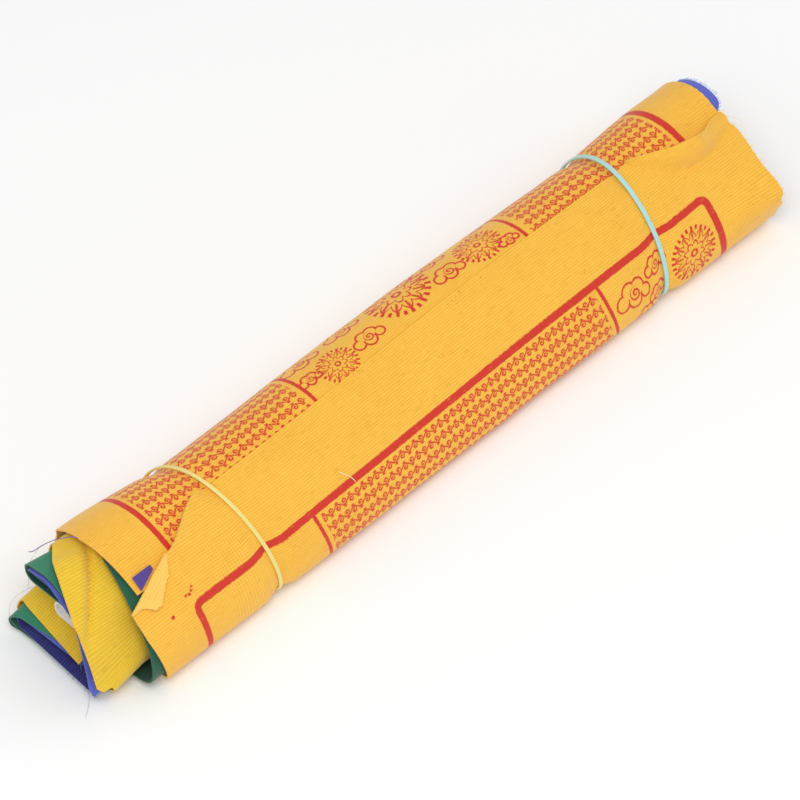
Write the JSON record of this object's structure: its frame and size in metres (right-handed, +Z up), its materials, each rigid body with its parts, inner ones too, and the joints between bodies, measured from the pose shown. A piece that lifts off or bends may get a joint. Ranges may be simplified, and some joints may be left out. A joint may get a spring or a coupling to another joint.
{
  "type": "roll of prayer flags",
  "caption": "Slumped roll of thin printed cloth flags held by two rubber bands, its inner flags showing at one end.",
  "frame": {"origin": "middle of the roll's underside box, on the surface it lies on", "axes": "+X along the roll towards the end with the raised margin, -Y the front with the free edge, +Z up"},
  "size_m": [0.268, 0.0558, 0.0376],
  "materials": {
    "golden_cloth": "matte woven cotton",
    "yellow_cloth": "matte woven cotton",
    "green_cloth": "matte woven cotton",
    "blue_cloth": "matte woven cotton",
    "white_cloth": "matte woven cotton",
    "yellow_rubber": "soft satin",
    "mint_rubber": "soft satin"
  },
  "bodies": {
    "root": {"outer_flag": "golden_cloth", "wound_core": "golden_cloth", "green_turn": "green_cloth", "blue_turn": "blue_cloth", "yellow_flag": "yellow_cloth", "green_flag": "green_cloth", "blue_flag": "blue_cloth", "white_flag": "white_cloth", "blue_scrap": "blue_cloth", "band_yellow": "yellow_rubber", "band_mint": "mint_rubber"}
  },
  "joints": []
}
